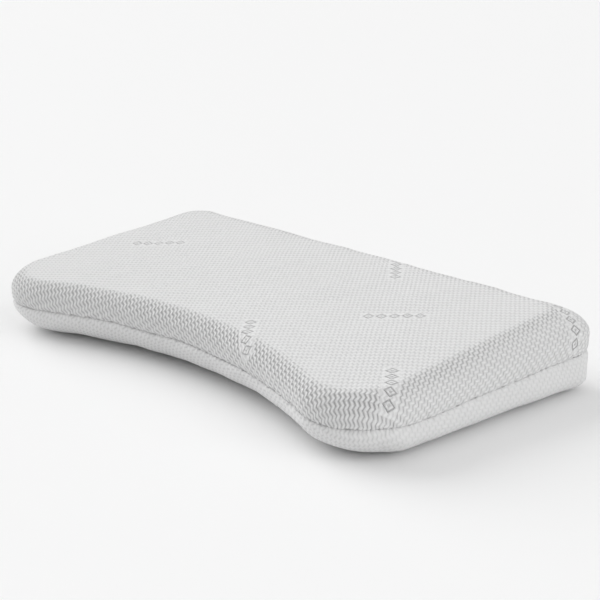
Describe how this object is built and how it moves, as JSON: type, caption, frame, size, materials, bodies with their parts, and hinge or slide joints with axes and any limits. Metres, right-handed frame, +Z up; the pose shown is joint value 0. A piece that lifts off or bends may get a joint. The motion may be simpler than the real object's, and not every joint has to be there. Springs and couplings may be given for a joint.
{
  "type": "bed pillow",
  "caption": "Contoured memory-foam bed pillow, taller at the straight back, with a shoulder recess in front and a knitted cover that unzips along the back.",
  "frame": {"origin": "centre of the footprint, zip slider included, on the surface the pillow lies on", "axes": "+X along the length, +Y from the recessed front to the straight zipped back, +Z up"},
  "size_m": [0.6, 0.3257, 0.0848],
  "materials": {
    "foam": "matte",
    "liner_jersey": "matte",
    "cover_knit": "matte",
    "thread": "matte",
    "zip_tape": "matte",
    "zip_coil": "satin",
    "zip_metal": "satin",
    "zip_stops": "satin",
    "label_satin": "satin"
  },
  "bodies": {
    "pillow": {"foam_core": "foam", "liner_upper": "liner_jersey", "liner_lower": "liner_jersey", "liner_seam_thread": "thread", "cover_top_panel": "cover_knit", "cover_bottom_panel": "cover_knit", "cover_seam_allowance": "cover_knit", "cover_seam_thread": "thread", "zip_tape_upper": "zip_tape", "zip_tape_lower": "zip_tape", "zip_coil_upper": "zip_coil", "zip_coil_lower": "zip_coil", "zip_top_stops": "zip_stops", "zip_bottom_stop": "zip_stops", "zip_stitching_upper": "thread", "zip_stitching_lower": "thread", "zip_bartacks": "thread", "care_label": "label_satin"},
    "zip_slider": {"zip_slider": "zip_metal"},
    "zip_pull": {"zip_pull_tab": "zip_metal"}
  },
  "joints": [
    {"name": "zip_slider_travel", "type": "slide", "parent": "pillow", "child": "zip_slider", "axis": [-1, 0, 0], "range_m": [0, 0.404], "deforming": ["zip_coil_upper", "zip_coil_lower"]},
    {"name": "zip_pull_swing", "type": "hinge", "parent": "zip_slider", "child": "zip_pull", "pos_m": [0.2043, 0.16085, 0.045], "axis": [0, 0, -1], "range_deg": [0, 180]}
  ]
}
